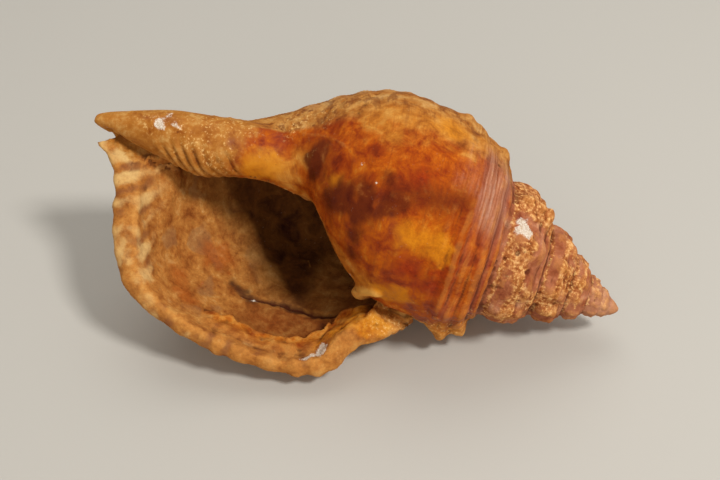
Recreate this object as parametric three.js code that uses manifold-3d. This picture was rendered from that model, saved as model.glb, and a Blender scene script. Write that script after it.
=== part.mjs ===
// A triton shell (triton trumpet): one grown piece, lying on its lip, its back and its spire.
// Units are millimetres. The shell is first built about its own axis: the ideal apex at the origin,
// the axis running down -Z, and the lip at growth angle 0, out along +X. Going back from the lip,
// the growth angle rises, the whorls shrink and the spiral climbs to the apex. It is then laid down.
import * as THREE from 'three';
import { mergeVertices } from 'three/addons/utils/BufferGeometryUtils.js';
import Module from 'manifold-3d';

const wasm = await Module();
wasm.setup();

// ---- driving dimensions -------------------------------------------------------------------
const GROWTH = 1.5;                  // each turn is this much bigger than the one before it
const TURNS = 4.5;                   // turns with real whorls; the worn tip above is a plain dome
const TIP_DEPTH = 2;                 // the worn tip stops this far short of the ideal apex
const TURN_STEPS = [0, 4, 9, 15, 22, ...Array.from({ length: 33 }, (_, i) => 30 + 10 * i)];

// The whorl's section at the lip's scale, from the seam with the turn before to the front end:
// distance along the axis and radius, then where the flared lip's edge is.
// hold and reach say how many degrees behind the edge the flare fades, along and across.
const SECTION = [
  { at: [78.4, 36.2], lip: [75, 40], along: [0, 50], across: [0, 50] },
  { at: [82.5, 40.7], lip: [80.4, 45.5], along: [0, 60], across: [0, 60] },
  { at: [88, 44.8], lip: [86.4, 50.5], along: [0, 60], across: [0, 60] },
  { at: [98, 50], lip: [93.5, 56.5], along: [0, 60], across: [0, 60] },
  { at: [108, 53], lip: [96, 66], along: [0, 70], across: [0, 70] },
  { at: [117.6, 54.3], lip: [103, 73], along: [0, 75], across: [0, 75] },
  { at: [130, 55], lip: [116, 77.5], along: [0, 90], across: [0, 90] },
  { at: [143, 53.5], lip: [133, 80], along: [0, 100], across: [0, 100] },
  { at: [156, 48], lip: [150, 80.5], along: [0, 110], across: [0, 110] },
  { at: [169, 39.5], lip: [170, 74], along: [0, 120], across: [0, 120] },
  { at: [181, 27.5], lip: [184.5, 64], along: [20, 200], across: [0, 130] },
  { at: [190, 18], lip: [197, 46], along: [40, 240], across: [0, 150] },
  { at: [198, 12.6], lip: [209, 18], along: [60, 240], across: [0, 150] },
  { at: [207, 11], lip: [220, 5.5], along: [60, 240], across: [0, 150] },
];
const NECK_FILL = { points: [12, 4.2], angles: [200, 290] };  // the neck thickens into the pillar
const FLARE_POWER = 2.3;             // how sharply the flare rises towards the edge
const SEAM_POINT = 5;                // the section point that the next turn covers from
const COLUMNS_PER_POINT = 2;

const CANAL_START = 150;             // the front end bends aside past here
const CANAL_LENGTH = 72;
const CANAL_BEND = 20;
const FRONT_DEPTH = 208;             // where the spiral surface closes, inside the pillar

const CORDS = [[2, 1.2], [3, 1.6], [4, 1]];        // spiral cords: section point and height
const CORD_WIDTH = 0.45;
const KNOBS = [[2, 2.2], [3, 3]];                  // knobs on two of the cords
const KNOBS_PER_TURN = 10;
const VARICES = [                    // old lips, left as swellings across the whorl
  { angle: 380, spread: 34, height: 10, across: 0 },
  { angle: 60, spread: 14, height: 7, across: 0.8 },
  { angle: 13, spread: 11, height: 3, across: 1 },
];
const LIP_LEAN = { forward: 8, reach: 60 };        // the flared edge curls forwards

// The columella and canal pillar: depth along the axis, centre across and radius.
const PILLAR = [
  [118, 0, 8.5], [137, 0, 10.8], [154, 0.3, 11.2], [166, 1, 11.9], [176, 2, 12.7], [183, 1.3, 12],
  [191, 0, 10.8], [198, -1, 9.6], [206, -1.9, 7.8], [214, -2.9, 5.6], [220, -3.7, 3.8], [224.5, -4.2, 1.9],
];
const PILLAR_SIDES = 20;

// The hollow: wall thickness along the section inside, and how much more it is at the lip.
const WALL = 4.6;
const LIP_EXTRA = 2.4;
const CORNER_EXTRA = 4;
const HOLLOW_POINTS = { from: 2, toAtLip: 11.9, toInside: 11 };  // section points it spans
// The wall thickens into a shallow floor where the mouth runs out into the canal.
const CANAL_FLOOR = { points: [8.6, 11.8], angle: 34, spread: 28, height: 13 };
const HOLLOW_END = 430;              // growth angle where the hollow stops
const HOLLOW_COLUMNS = 13;
const CALLUS = 2.5;                  // new shell laid over the turn before, inside the hollow
const COLUMELLA = 10.5;
const TOOTH = { depth: 98.5, width: 3, height: 3.5, reach: 60 };
const RIM = [[1.2, 2], [3.2, 3.2], [5.2, 3.6]];    // lip edge rounding: inwards, forwards

// The way down when the shell lies still, and how much each of its three rests is worn flat.
const DOWN = new THREE.Vector3(0.668781, 0.649059, 0.362567).normalize();
const FLATS = 0.3;

// ---- the spiral surface ---------------------------------------------------------------------
const scaleAt = (angle) => GROWTH ** (-angle / 360);
const fade = (angle, [hold, reach]) =>
  Math.min(1, Math.max(0, 1 - (angle - hold) / (reach - hold))) ** FLARE_POWER;
const hump = (x, width) => Math.exp(-((x / width) ** 2));
const mix = THREE.MathUtils.lerp;

function sectionCurve(angle) {
  const scale = scaleAt(angle);
  return new THREE.CatmullRomCurve3(SECTION.map(({ at, lip, along, across }) => new THREE.Vector3(
    mix(at[0] * scale, lip[0], fade(angle, along)),
    mix(at[1] * scale, lip[1], fade(angle, across)),
    0,
  )), false, 'catmullrom', 0.5);
}

function relief(angle, point) {
  const worn = 0.35 + 0.65 * THREE.MathUtils.smoothstep(angle, 220, 330);
  const varix = VARICES.map(({ angle: at, spread, height }) => height * hump(angle - at, spread));
  const wave = 0.5 + 0.5 * Math.cos(THREE.MathUtils.degToRad(KNOBS_PER_TURN * angle));
  let height = 0;
  for (const [at, cord] of CORDS) height += cord * worn * hump(point - at, CORD_WIDTH);
  for (const [at, knob] of KNOBS) height += knob * worn * wave * hump(point - at, CORD_WIDTH);
  VARICES.forEach(({ across }, i) => {
    const knobRows = hump(point - 2, CORD_WIDTH) + hump(point - 3, CORD_WIDTH);
    height += varix[i] * mix(wave * knobRows, hump(point - 5, 4), across);
  });
  const [neck, fill] = NECK_FILL.points;
  const filled = THREE.MathUtils.smoothstep(angle, ...NECK_FILL.angles);
  height += fill * filled * THREE.MathUtils.smoothstep(point, neck - 1.5, neck + 0.5);
  return height * scaleAt(angle);
}

// The section at one growth angle, as [depth, radius] points with the relief on.
function sectionPoints(angle, points) {
  const curve = sectionCurve(angle);
  const last = SECTION.length - 1;
  return points.map((point) => {
    const here = curve.getPoint(point / last);
    const ahead = curve.getPoint(Math.min(1, point / last + 0.004));
    const behind = curve.getPoint(Math.max(0, point / last - 0.004));
    const out = new THREE.Vector2(behind.y - ahead.y, ahead.x - behind.x).normalize();
    const height = relief(angle, point);
    return { depth: here.x + out.x * height, radius: here.y + out.y * height, out };
  });
}

const canalBend = (depth) =>
  CANAL_BEND * Math.max(0, (depth - CANAL_START) / CANAL_LENGTH) ** 1.3;

function inSpace(depth, radius, angle, extra = 0) {
  const turn = THREE.MathUtils.degToRad(angle);
  const flared = THREE.MathUtils.clamp((radius - 20) / 40, 0, 1);
  const forward = extra + LIP_LEAN.forward * flared * fade(angle, [0, LIP_LEAN.reach]);
  return [radius * Math.cos(turn) + canalBend(depth), radius * Math.sin(turn) - forward, -depth];
}

// ---- closed meshes to solids ----------------------------------------------------------------
function solidOf(points, triangles) {
  const [a, b, c] = [new THREE.Vector3(), new THREE.Vector3(), new THREE.Vector3()];
  let volume = 0;
  for (const [i, j, k] of triangles) {
    volume += a.fromArray(points[i]).dot(b.fromArray(points[j]).cross(c.fromArray(points[k])));
  }
  const outward = volume > 0 ? triangles : triangles.map(([i, j, k]) => [i, k, j]);
  const geometry = new THREE.BufferGeometry();
  geometry.setAttribute('position', new THREE.Float32BufferAttribute(points.flat(), 3));
  geometry.setIndex(outward.flat());
  return solidFrom(mergeVertices(geometry, 1e-4));
}

function solidFrom(merged) {
  return new wasm.Manifold(new wasm.Mesh({
    numProp: 3,
    vertProperties: new Float32Array(merged.attributes.position.array),
    triVerts: new Uint32Array(merged.index.array),
  }));
}

function barePositions(geometry) {
  geometry.deleteAttribute('normal');
  geometry.deleteAttribute('uv');
  return geometry;
}

// Triangles that fill a loop of points, seen flat along one axis, turning the way the loop does.
function fillLoop(points, loop, dropped) {
  const [u, v] = [(dropped + 1) % 3, (dropped + 2) % 3];
  const flat = loop.map((index) => new THREE.Vector2(points[index][u], points[index][v]));
  const flip = THREE.ShapeUtils.area(flat) < 0;
  return THREE.ShapeUtils.triangulateShape(flat, [])
    .map(([a, b, c]) => (flip ? [a, c, b] : [a, b, c]).map((at) => loop[at]));
}

// Rings of equal length, joined side to side and closed at both ends.
function solidOfRings(rings, startDropped, endDropped) {
  const points = rings.flat();
  const sides = rings[0].length;
  const triangles = [];
  for (let row = 0; row + 1 < rings.length; row += 1) {
    for (let side = 0; side < sides; side += 1) {
      const [a, b] = [row * sides + side, row * sides + ((side + 1) % sides)];
      triangles.push([a, b, a + sides], [b, b + sides, a + sides]);
    }
  }
  const first = rings[0].map((_, side) => side);
  const last = first.map((side) => side + (rings.length - 1) * sides);
  triangles.push(...fillLoop(points, first, startDropped).map(([a, b, c]) => [a, c, b]));
  triangles.push(...fillLoop(points, last, endDropped));
  return solidOf(points, triangles);
}

// ---- the outside: one strip that winds from the lip to the tip --------------------------------
function outside() {
  const perTurn = TURN_STEPS.length;
  const rows = Math.round(TURNS * perTurn);
  const angleOf = (row) => 360 * Math.floor(row / perTurn) + TURN_STEPS[row % perTurn];
  const seam = SEAM_POINT * COLUMNS_PER_POINT;
  const end = (SECTION.length - 1) * COLUMNS_PER_POINT;
  const range = (from, to) => Array.from({ length: to - from + 1 }, (_, i) => from + i);
  const points = [];
  const triangles = [];
  const grid = new Map();
  const add = (point) => points.push(point) - 1;
  const name = (row, column) => `${row},${column}`;

  for (const row of range(0, rows)) {
    const columns = range(0, row <= perTurn ? end : seam);
    sectionPoints(angleOf(row), columns.map((column) => column / COLUMNS_PER_POINT))
      .forEach(({ depth, radius }, column) => {
        const shared = row >= perTurn && column === seam;
        const own = () => add(inSpace(depth, radius, angleOf(row)));
        grid.set(name(row, column), shared ? grid.get(name(row - perTurn, 0)) : own());
      });
  }
  const at = (row, column) => grid.get(name(row, column));
  const quad = (a, b, c, d) => triangles.push([a, b, c], [a, c, d]);
  for (const row of range(0, rows - 1)) {
    for (const column of range(0, (row < perTurn ? end : seam) - 1)) {
      quad(at(row, column), at(row + 1, column), at(row + 1, column + 1), at(row, column + 1));
    }
  }

  // The front end closes on the axis, inside the pillar.
  const front = add([canalBend(FRONT_DEPTH), 0, -FRONT_DEPTH]);
  for (const row of range(0, perTurn - 1)) triangles.push([at(row, end), at(row + 1, end), front]);

  // The lip's edge is rounded, then a flat face spans the mouth until the hollow is cut.
  let edge = range(0, end).map((column) => at(0, column));
  for (const [inwards, forwards] of RIM) {
    const ring = sectionPoints(0, range(0, end).map((column) => column / COLUMNS_PER_POINT))
      .map(({ depth, radius, out }, column) => {
        const room = Math.min(1, column / 4, (end - column) / 4);
        const shift = room * inwards;
        return inSpace(depth - out.x * shift, radius - out.y * shift, 0, room * forwards);
      });
    const next = ring.map((point, column) => (column % end ? add(point) : edge[column]));
    for (const column of range(0, end - 1)) {
      quad(edge[column], edge[column + 1], next[column + 1], next[column]);
    }
    edge = next;
  }
  const inner = range(seam + 1, end).reverse().map((column) => at(perTurn, column));
  triangles.push(...fillLoop(points, [...edge, front, ...inner], 1));

  // The tip is a small dome over the last turn's open end.
  let loop = [
    ...range(0, seam).reverse().map((column) => at(rows, column)),
    ...range(1, perTurn - 1).map((back) => at(rows - back, 0)),
  ];
  for (const [across, along] of [[0.8, 0.62], [0.5, 0.28], [0.22, 0.07]]) {
    const ring = loop.map((index) => {
      const [x, y, z] = points[index];
      return add([x * across, y * across, z]);
    });
    loop.forEach((index, side) => {
      points[ring[side]][2] = -TIP_DEPTH + (points[index][2] + TIP_DEPTH) * along;
    });
    loop.forEach((index, side) => {
      const next = (side + 1) % loop.length;
      quad(index, loop[next], ring[next], ring[side]);
    });
    loop = ring;
  }
  const tip = add([0, 0, -TIP_DEPTH]);
  loop.forEach((index, side) => triangles.push([index, loop[(side + 1) % loop.length], tip]));
  return solidOf(points, triangles);
}

// ---- the hollow: a tube up the inside of the last turn ----------------------------------------
function radiusAt(section, depth) {
  for (let i = 0; i + 1 < section.length; i += 1) {
    const [a, b] = [section[i], section[i + 1]];
    if (depth >= a.depth && depth <= b.depth) {
      return mix(a.radius, b.radius, (depth - a.depth) / (b.depth - a.depth));
    }
  }
  return 0;
}

function hollowRing(angle, { forward = 0, flare = 0, clear = 0 } = {}) {
  const scale = scaleAt(angle);
  const nearLip = fade(angle, [0, 90]);
  const grown = THREE.MathUtils.clamp(angle / 40, 0, 1);
  const to = mix(HOLLOW_POINTS.toAtLip, HOLLOW_POINTS.toInside, THREE.MathUtils.clamp(angle / 100, 0, 1));
  const steps = Array.from({ length: HOLLOW_COLUMNS }, (_, i) => i / (HOLLOW_COLUMNS - 1));
  const places = steps.map((step) => mix(HOLLOW_POINTS.from, to, step));
  const filled = CANAL_FLOOR.height * hump(angle - CANAL_FLOOR.angle, CANAL_FLOOR.spread);
  const outer = sectionPoints(angle, places)
    .map(({ depth, radius, out }, i) => {
      const corner = CORNER_EXTRA * Math.max(0, 1 - 2.5 * steps[i]);
      const floor = filled * THREE.MathUtils.smoothstep(places[i], ...CANAL_FLOOR.points);
      const wall = scale * (WALL + nearLip * (LIP_EXTRA + corner)) - flare + floor;
      return { depth: depth - out.x * wall, radius: radius - out.y * wall };
    });
  const points = Array.from({ length: 2 * (SECTION.length - 1) + 1 }, (_, i) => i / 2);
  const before = sectionPoints(angle + 360, points);
  const [start, end] = [outer[0], outer.at(-1)];
  const inner = steps.map((step) => {
    const depth = mix(end.depth, start.depth, step);
    const tooth = TOOTH.height * hump(depth / scale - TOOTH.depth, TOOTH.width)
      * hump(angle, TOOTH.reach) * (clear ? 0 : 1);
    const wall = radiusAt(before, depth) + CALLUS * grown + tooth + clear;
    return { depth, radius: Math.max(wall, COLUMELLA * scale * Math.min(1, 0.3 + grown)) };
  });
  return [...outer, ...inner].map(({ depth, radius }) => inSpace(depth, radius, angle, forward));
}

function hollow() {
  const rings = [
    hollowRing(0, { forward: 14, flare: 1.6, clear: 3 }),
    hollowRing(0, { forward: 3.5, flare: 1.6, clear: 0.8 }),
    hollowRing(0, { forward: 1.6, flare: 0.5, clear: 0.4 }),
    ...TURN_STEPS.map((angle) => hollowRing(angle)),
    ...TURN_STEPS.map((angle) => 360 + angle).filter((angle) => angle <= HOLLOW_END)
      .map((angle) => hollowRing(angle)),
  ];
  return solidOfRings(rings, 1, 0);
}

// ---- the pillar up the middle, which ends as the canal's upper edge ---------------------------
function pillar() {
  return solidOfRings(PILLAR.map(([depth, centre, radius]) => (
    Array.from({ length: PILLAR_SIDES }, (_, side) => {
      const turn = (2 * Math.PI * side) / PILLAR_SIDES;
      return [canalBend(depth) + centre + radius * Math.cos(turn), radius * Math.sin(turn), -depth];
    })
  )), 2, 2);
}

// ---- laid down: on the lip's back, a knob behind it and a knob of the turn before ---------------
function laidDown(solid) {
  const up = DOWN.clone().negate();
  const along = new THREE.Vector3(0, 0, 1).projectOnPlane(up).normalize();
  const turn = new THREE.Matrix4().makeBasis(along, up.clone().cross(along), up).transpose();
  const turned = solid.transform(turn.elements);
  const { min, max } = turned.boundingBox();
  const placed = turned.translate([-(min[0] + max[0]) / 2, -(min[1] + max[1]) / 2, -min[2] - FLATS]);
  const room = 3 * (max[0] - min[0]);
  const above = mergeVertices(barePositions(new THREE.BoxGeometry(room, room, room)));
  return placed.intersect(solidFrom(above).translate([0, 0, room / 2]));
}

const solid = laidDown(outside().subtract(hollow()).add(pillar()));
const mesh = solid.getMesh();
const geometry = new THREE.BufferGeometry();
geometry.setAttribute('position', new THREE.Float32BufferAttribute(mesh.vertProperties, 3));
geometry.setIndex(Array.from(mesh.triVerts));
const shell = new THREE.Mesh(geometry, new THREE.MeshStandardMaterial({
  color: 0xb9763c, roughness: 0.45, metalness: 0,
}));
shell.name = 'shell';

const group = new THREE.Group();
group.add(shell);
export default group;
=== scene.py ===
"""A worn triton shell, lying on its lip's back with its mouth towards the camera.

The shell is grown again here from the CAD model's own dimensions, in fine steps, and then gets its
relief, its wear and its colours. Lengths are millimetres about the shell's own axis until the end:
the ideal apex at the origin, the axis running down -Z and the lip at growth angle 0, out along +X.
Going back from the lip the growth angle rises. The finished mesh is laid on the CAD node in metres.
"""

import bmesh
import bpy
import numpy as np
from mathutils import Matrix, Vector, geometry, kdtree


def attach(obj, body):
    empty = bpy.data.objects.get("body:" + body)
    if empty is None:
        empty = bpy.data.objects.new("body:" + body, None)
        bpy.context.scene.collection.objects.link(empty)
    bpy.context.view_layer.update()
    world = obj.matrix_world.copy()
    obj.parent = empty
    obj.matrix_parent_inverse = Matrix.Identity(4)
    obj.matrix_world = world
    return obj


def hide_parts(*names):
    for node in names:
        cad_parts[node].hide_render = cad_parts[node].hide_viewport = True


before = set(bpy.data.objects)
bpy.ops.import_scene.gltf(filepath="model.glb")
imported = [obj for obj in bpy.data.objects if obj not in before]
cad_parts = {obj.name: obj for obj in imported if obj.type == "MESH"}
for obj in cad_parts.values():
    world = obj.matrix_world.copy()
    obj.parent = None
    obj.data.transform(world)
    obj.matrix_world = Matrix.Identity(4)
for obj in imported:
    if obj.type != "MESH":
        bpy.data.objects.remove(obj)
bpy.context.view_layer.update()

# ---- driving dimensions, as in the CAD model ----
GROWTH = 1.5                     # each turn is this much bigger than the one before it
TIP_DEPTH = 2                    # the worn tip stops this far short of the ideal apex
TIP_DOME = [(0.92, 0.86), (0.78, 0.66), (0.6, 0.42), (0.4, 0.2), (0.2, 0.06)]    # width and depth left
SEAM_POINT = 5                   # the section point that the next turn covers from
# The whorl's section: depth along the axis and radius, the same two at the flared lip's edge, and
# how many degrees behind the edge the flare holds and where it ends, along and across the axis.
SECTION = np.array([
    [78.4, 36.2, 75, 40, 0, 50, 0, 50],
    [82.5, 40.7, 80.4, 45.5, 0, 60, 0, 60],
    [88, 44.8, 86.4, 50.5, 0, 60, 0, 60],
    [98, 50, 93.5, 56.5, 0, 60, 0, 60],
    [108, 53, 96, 66, 0, 70, 0, 70],
    [117.6, 54.3, 103, 73, 0, 75, 0, 75],
    [130, 55, 116, 77.5, 0, 90, 0, 90],
    [143, 53.5, 133, 80, 0, 100, 0, 100],
    [156, 48, 150, 80.5, 0, 110, 0, 110],
    [169, 39.5, 170, 74, 0, 120, 0, 120],
    [181, 27.5, 184.5, 64, 20, 200, 0, 130],
    [190, 18, 197, 46, 40, 240, 0, 150],
    [198, 12.6, 209, 18, 60, 240, 0, 150],
    [207, 11, 220, 5.5, 60, 240, 0, 150],
])
LAST_POINT = len(SECTION) - 1
NECK_FILL = {"point": 12, "height": 4.2, "angles": (200, 290)}
FLARE_POWER = 2.3
CANAL = {"start": 150, "length": 72, "bend": 20, "power": 1.3}
FRONT_DEPTH = 208
CORDS = [(2, 1.2), (3, 1.6), (4, 1)]          # spiral cords: section point and height
KNOBS = [(2, 2.2), (3, 3)]
CORD_WIDTH = 0.45
KNOBS_PER_TURN = 10
VARICES = [                                   # old lips: angle, spread, height, share across
    (380, 34, 10, 0),
    (60, 14, 7, 0.8),
    (13, 11, 3, 1),
]
LIP_LEAN = {"forward": 8, "reach": 60, "radii": (20, 60)}
PILLAR = np.array([                           # depth, centre across and radius
    [118, 0, 8.5], [137, 0, 10.8], [154, 0.3, 11.2], [166, 1, 11.9], [176, 2, 12.7],
    [183, 1.3, 12], [191, 0, 10.8], [198, -1, 9.6], [206, -1.9, 7.8], [214, -2.9, 5.6],
    [220, -3.7, 3.8], [224.5, -4.2, 1.9],
])
WALL = 4.6
LIP_EXTRA = 2.4
CORNER_EXTRA = 4
HOLLOW = {"from": 2, "at_lip": 11.9, "inside": 11, "end": 430, "narrow_by": 100, "callus_by": 40}
MOUTH_RINGS = [(14, 1.6, 3), (3.5, 1.6, 0.8), (1.6, 0.5, 0.4)]        # forward, wider and clear inside
CANAL_FLOOR = {"points": (8.6, 11.8), "angle": 34, "spread": 28, "height": 13}
CALLUS = 2.5
COLUMELLA = 10.5
TOOTH = {"depth": 98.5, "width": 3, "height": 3.5, "reach": 60}
RIM = [(1.2, 2), (3.2, 3.2), (5.2, 3.6)]      # lip edge rounding: inwards, forwards
DOWN = np.array([0.668781, 0.649059, 0.362567])        # the way down, in the shell's own axes

# ---- how finely it is grown ----
TURNS = 6
ROWS = 180                       # rows of the spiral surface in one turn
COLUMNS = 4                      # columns to each section point
HOLLOW_STEP = 2                  # degrees
HOLLOW_COLUMNS = 45
PILLAR_SIDES = 56
VOXEL = 0.9
MOST_TRIANGLES = 196000
FLOOR_FADE = (0, 2.5)            # no relief on the floor, all of it this high
OUTSIDE, INSIDE, INNER, AXIS = range(4)       # which surface a point belongs to

# ---- small functions ----
def mix(a, b, share):
    return a + (b - a) * share


def smoothstep(x, low, high):
    t = np.clip((x - low) / (high - low), 0, 1)
    return t * t * (3 - 2 * t)


def hump(x, width):
    return np.exp(-((x / width) ** 2))


def between(x, low, high, soft):
    """1 from low to high, falling to 0 over soft on each side."""
    return smoothstep(x, low - soft, low + soft) * (1 - smoothstep(x, high - soft, high + soft))


def lattice(cell, seed):
    """A steady number from -1 to 1 for each whole-number cell."""
    n = (cell @ np.array([73856093, 19349663, 83492791]) + seed * 1013904223) & 0xFFFFFFFF
    n = ((n ^ (n >> 13)) * 1274126177) & 0xFFFFFFFF
    return ((n ^ (n >> 16)) & 0xFFFF) / 32767.5 - 1


def noise(points, size, seed=0):
    """Smooth noise from -1 to 1, with features of about this size."""
    place = points / size + seed * 7.31
    cell = np.floor(place).astype(np.int64)
    t = place - cell
    t = t * t * (3 - 2 * t)
    total = np.zeros(len(points))
    for corner in np.ndindex(2, 2, 2):
        share = np.prod(np.where(np.array(corner) == 1, t, 1 - t), axis=-1)
        total += share * lattice(cell + np.array(corner), seed)
    return total


def fractal(points, size, seed=0, octaves=3):
    layers = [noise(points, size / 2 ** i, seed + i) / 2 ** i for i in range(octaves)]
    return sum(layers) / 1.5


def spots(points, size, seed=0):
    """Distance to the nearest of scattered points, counted in this size."""
    place = points / size
    cell = np.floor(place).astype(np.int64)
    nearest = np.full(len(points), 9.0)
    for step in np.ndindex(3, 3, 3):
        near = cell + np.array(step) - 1
        jitter = np.stack([lattice(near, seed + i) for i in range(3)], -1)
        nearest = np.minimum(nearest, ((near + 0.5 + 0.45 * jitter - place) ** 2).sum(-1))
    return np.sqrt(nearest)


def placed(name, data):
    """A new object that shows this data, in the scene."""
    made = bpy.data.objects.new(name, data)
    bpy.context.scene.collection.objects.link(made)
    return made


# ---- the spiral surface ----
def scale_at(angle):
    return GROWTH ** (-angle / 360)


def fade(angle, hold, reach):
    return np.clip(1 - (angle - hold) / (reach - hold), 0, 1) ** FLARE_POWER


def control_points(angle):
    """The section's control points at each growth angle, with one more past each end."""
    angle = angle[:, None]
    depth, radius, lip_depth, lip_radius, hold, reach, hold_2, reach_2 = SECTION.T
    along = mix(depth * scale_at(angle), lip_depth, fade(angle, hold, reach))
    across = mix(radius * scale_at(angle), lip_radius, fade(angle, hold_2, reach_2))
    points = np.stack([along, across], -1)
    first = 2 * points[:, :1] - points[:, 1:2]
    last = 2 * points[:, -1:] - points[:, -2:-1]
    return np.concatenate([first, points, last], 1)


def smooth_curve(control, point):
    """Place and direction on the curve through control, one point on each of its rows."""
    start = np.clip(np.floor(point).astype(int), 0, control.shape[1] - 4)
    t = (point - start)[:, None]
    row = np.arange(len(point))
    a, b, c, d = (control[row, start + i] for i in range(4))
    leave, arrive = (c - a) / 2, (d - b) / 2
    second, third = 3 * (c - b) - 2 * leave - arrive, 2 * (b - c) + leave + arrive
    return b + t * (leave + t * (second + t * third)), leave + t * (2 * second + 3 * t * third)


def coarse_relief(angle, point):
    """The cords, knobs, varices and the filled neck that the CAD model has too."""
    worn = 0.35 + 0.65 * smoothstep(angle, 220, 330)
    wave = 0.5 + 0.5 * np.cos(np.radians(KNOBS_PER_TURN * angle))
    knob_rows = sum(hump(point - at, CORD_WIDTH) for at, _ in KNOBS)
    height = sum(cord * worn * hump(point - at, CORD_WIDTH) for at, cord in CORDS)
    height = height + sum(knob * worn * wave * hump(point - at, CORD_WIDTH) for at, knob in KNOBS)
    for at, spread, most, across in VARICES:
        height += most * hump(angle - at, spread) * mix(wave * knob_rows, hump(point - 5, 4), across)
    neck = NECK_FILL["point"]
    filled = smoothstep(angle, *NECK_FILL["angles"]) * smoothstep(point, neck - 1.5, neck + 0.5)
    return (height + NECK_FILL["height"] * filled) * scale_at(angle)


def section(angle, point):
    """Depth, radius and the way out of the surface, in the plane through the axis."""
    here, direction = smooth_curve(control_points(angle), point)
    out = np.stack([-direction[:, 1], direction[:, 0]], -1)
    out /= np.linalg.norm(out, axis=1)[:, None]
    place = here + out * coarse_relief(angle, point)[:, None]
    return place[:, 0], place[:, 1], out


def canal_bend(depth):
    return CANAL["bend"] * np.maximum(0, (depth - CANAL["start"]) / CANAL["length"]) ** CANAL["power"]


def lean(radius, angle):
    start, end = LIP_LEAN["radii"]
    flared = np.clip((radius - start) / (end - start), 0, 1)
    return LIP_LEAN["forward"] * flared * fade(angle, 0, LIP_LEAN["reach"])


def in_space(depth, radius, angle, extra=0):
    turn = np.radians(angle)
    across = radius * np.cos(turn) + canal_bend(depth)
    return np.stack([across, radius * np.sin(turn) - lean(radius, angle) - extra, -depth], -1)


# ---- closed meshes ----
class Growing:
    """A mesh under way: its points, its faces, and each point's surface, growth angle and point."""

    def __init__(self, surface):
        self.surface = surface
        self.count = 0
        self.points, self.angles, self.along, self.faces = [], [], [], []

    def add(self, points, angle, along):
        points = np.atleast_2d(points)
        names = np.arange(self.count, self.count + len(points))
        self.count += len(points)
        self.points.append(points)
        self.angles.append(np.broadcast_to(angle, len(points)))
        self.along.append(np.broadcast_to(along, len(points)))
        return names

    def join(self, one, other):
        """Faces between two rows of points."""
        self.faces += np.stack([one[:-1], other[:-1], other[1:], one[1:]], 1).tolist()

    def join_rings(self, one, other):
        self.join(np.append(one, one[0]), np.append(other, other[0]))

    def tube(self, rings, first_dropped, last_dropped):
        """Faces between rings, and a cap on each end, seen flat without one axis."""
        for one, other in zip(rings, rings[1:]):
            self.join_rings(one, other)
        self.cap(rings[0].tolist(), first_dropped)
        self.cap(rings[-1].tolist(), last_dropped)

    def fan(self, row, middle):
        self.faces += [[a, b, middle] for a, b in zip(row[:-1], row[1:])]

    def cap(self, loop, dropped):
        """Fills a loop of points, seen flat along one axis."""
        flat = np.concatenate(self.points)[loop]
        flat[:, dropped] = 0
        order = [(dropped + 1) % 3, (dropped + 2) % 3, dropped]
        outline = [Vector(point[order]) for point in flat]
        self.faces += [[loop[i] for i in face] for face in geometry.tessellate_polygon([outline])]

    def object(self, name):
        mesh = bpy.data.meshes.new(name)
        mesh.from_pydata(np.concatenate(self.points).tolist(), [], self.faces)
        point_faces_out(mesh)
        return placed(name, mesh)


def point_faces_out(mesh):
    work = bmesh.new()
    work.from_mesh(mesh)
    bmesh.ops.triangulate(work, faces=work.faces)
    bmesh.ops.recalc_face_normals(work, faces=work.faces)
    if work.calc_volume(signed=True) < 0:
        bmesh.ops.reverse_faces(work, faces=work.faces)
    work.to_mesh(mesh)
    work.free()


def outside():
    """One strip that winds from the lip to the tip, each turn welded to the one before."""
    grown = Growing(OUTSIDE)
    seam, end = SEAM_POINT * COLUMNS, LAST_POINT * COLUMNS
    rows = TURNS * ROWS
    grid = []
    for row in range(rows + 1):
        shared = row >= ROWS
        columns = np.arange((end if row <= ROWS else seam) + 1)
        angle = 360 * row / ROWS
        depth, radius, _ = section(np.full(len(columns), angle), columns / COLUMNS)
        points = in_space(depth, radius, angle)
        own = grown.add(np.delete(points, seam, 0) if shared else points, angle,
                        np.delete(columns, seam) / COLUMNS if shared else columns / COLUMNS)
        grid.append(np.insert(own, seam, grid[row - ROWS][0]) if shared else own)
    for row in range(rows):
        width = (end if row < ROWS else seam) + 1
        grown.join(grid[row][:width], grid[row + 1][:width])
    front = grown.add([canal_bend(FRONT_DEPTH), 0, -FRONT_DEPTH], 0, LAST_POINT)[0]
    grown.fan([grid[row][end] for row in range(ROWS + 1)], front)

    columns = np.arange(end + 1)
    room = np.minimum(1, np.minimum(columns, end - columns) / (2 * COLUMNS))
    depth, radius, out = section(np.zeros(end + 1), columns / COLUMNS)
    edge = grid[0]
    for inwards, forwards in RIM:
        shift = room * inwards
        ring = in_space(depth - out[:, 0] * shift, radius - out[:, 1] * shift, 0, room * forwards)
        following = edge.copy()
        following[1:-1] = grown.add(ring[1:-1], 0, columns[1:-1] / COLUMNS)
        grown.join(edge, following)
        edge = following
    inner = grid[ROWS][seam + 1:end + 1][::-1]
    grown.cap([*edge, front, *inner], 1)

    loop = np.array([*grid[rows][:seam + 1][::-1], *[grid[rows - i][0] for i in range(1, ROWS)]])
    points = np.concatenate(grown.points)[loop]
    ring = loop
    for across, along in TIP_DOME:
        dome = points * [across, across, 1]
        dome[:, 2] = mix(-TIP_DEPTH, dome[:, 2], along)
        following = grown.add(dome, 360 * TURNS, 0)
        grown.join_rings(ring, following)
        ring = following
    tip = grown.add([0, 0, -TIP_DEPTH], 360 * TURNS, 0)[0]
    grown.fan(np.append(ring, ring[0]), tip)
    return grown


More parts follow.
